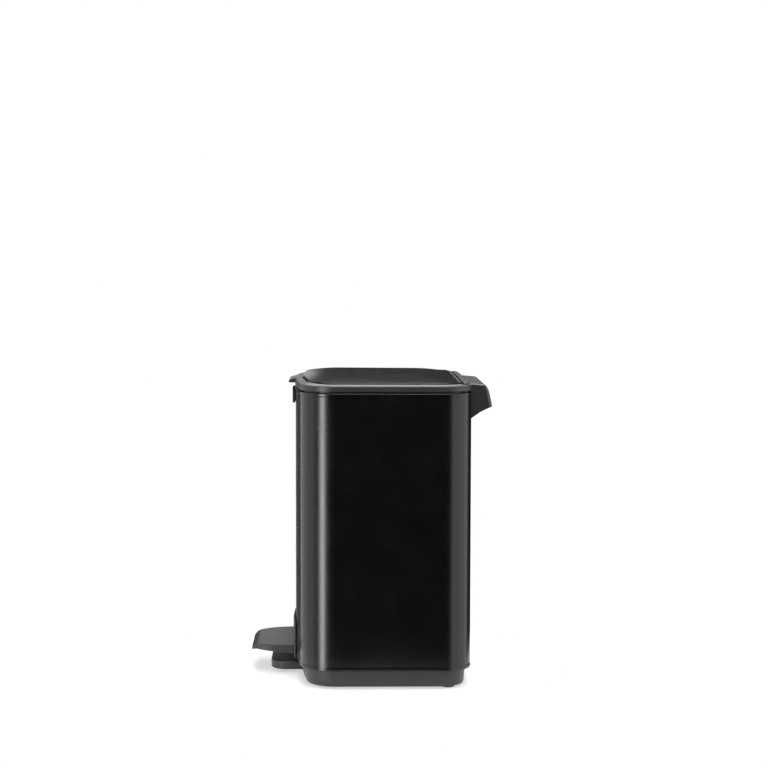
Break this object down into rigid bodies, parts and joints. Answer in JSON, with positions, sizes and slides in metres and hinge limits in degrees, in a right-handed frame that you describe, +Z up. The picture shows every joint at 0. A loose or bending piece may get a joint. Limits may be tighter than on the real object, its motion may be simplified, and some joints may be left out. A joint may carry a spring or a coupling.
{
  "type": "pedal trash can",
  "caption": "Wide free-standing pedal bin with a bowed front, hinged lid in a moulded collar, foot pedal, push rod, rear grip and inner bucket.",
  "frame": {"origin": "on the floor, under the middle of the overall box, the pedal and the rear grip included", "axes": "+Z up, -Y towards the pedal and the front, X across the width, which is the left-right axis of symmetry"},
  "size_m": [0.291, 0.303, 0.3855],
  "materials": {
    "black_lacquer": "sheet steel with a semi-gloss black powder coat",
    "matt_lacquer": "pressed steel with a fine satin black powder coat",
    "satin_plastic": "moulded dark grey plastic with a fine satin texture",
    "bucket_plastic": "moulded mid grey plastic, lightly textured",
    "zinc_steel": "zinc-plated steel",
    "rubber": "black rubber"
  },
  "bodies": {
    "can": {"steel_body": "black_lacquer", "base": "satin_plastic", "foot_rear_left": "rubber", "foot_rear_right": "rubber", "foot_front_left": "rubber", "foot_front_right": "rubber", "pedal_bezel": "satin_plastic", "front_badge": "satin_plastic", "collar": "satin_plastic", "hinge_pin_left": "zinc_steel", "hinge_pin_right": "zinc_steel", "rear_handle": "satin_plastic", "handle_screw_left": "zinc_steel", "handle_screw_right": "zinc_steel", "pedal_axle": "zinc_steel", "axle_clip_left": "zinc_steel", "axle_clip_right": "zinc_steel", "rod_channel": "bucket_plastic", "channel_screw_left": "zinc_steel", "channel_screw_right": "zinc_steel", "inner_bucket": "bucket_plastic"},
    "lid": {"lid_panel": "matt_lacquer", "lid_frame": "satin_plastic", "crank_pin": "zinc_steel", "lid_buffer_left": "rubber", "lid_buffer_right": "rubber"},
    "pedal": {"pedal_lever": "zinc_steel", "lever_pin": "zinc_steel", "pedal_pad": "satin_plastic", "pad_screw_left": "zinc_steel", "pad_screw_right": "zinc_steel"},
    "rod": {"push_rod": "bucket_plastic"}
  },
  "joints": [
    {"name": "lid_open", "type": "hinge", "parent": "can", "child": "lid", "pos_m": [0, 0.109, 0.373], "axis": [-1, 0, 0], "range_deg": [0, 80]},
    {"name": "pedal_press", "type": "hinge", "parent": "can", "child": "pedal", "pos_m": [0, -0.0785, 0.028], "axis": [1, 0, 0], "range_deg": [0, 10.7]},
    {"name": "rod_lift", "type": "slide", "parent": "can", "child": "rod", "axis": [0, 0, 1], "range_m": [0, 0.031]}
  ],
  "couplings": [
    {"joint": "pedal_press", "follows": "lid_open", "ratio": 0.1325},
    {"joint": "rod_lift", "follows": "lid_open", "m_per_rad": 0.022097}
  ]
}
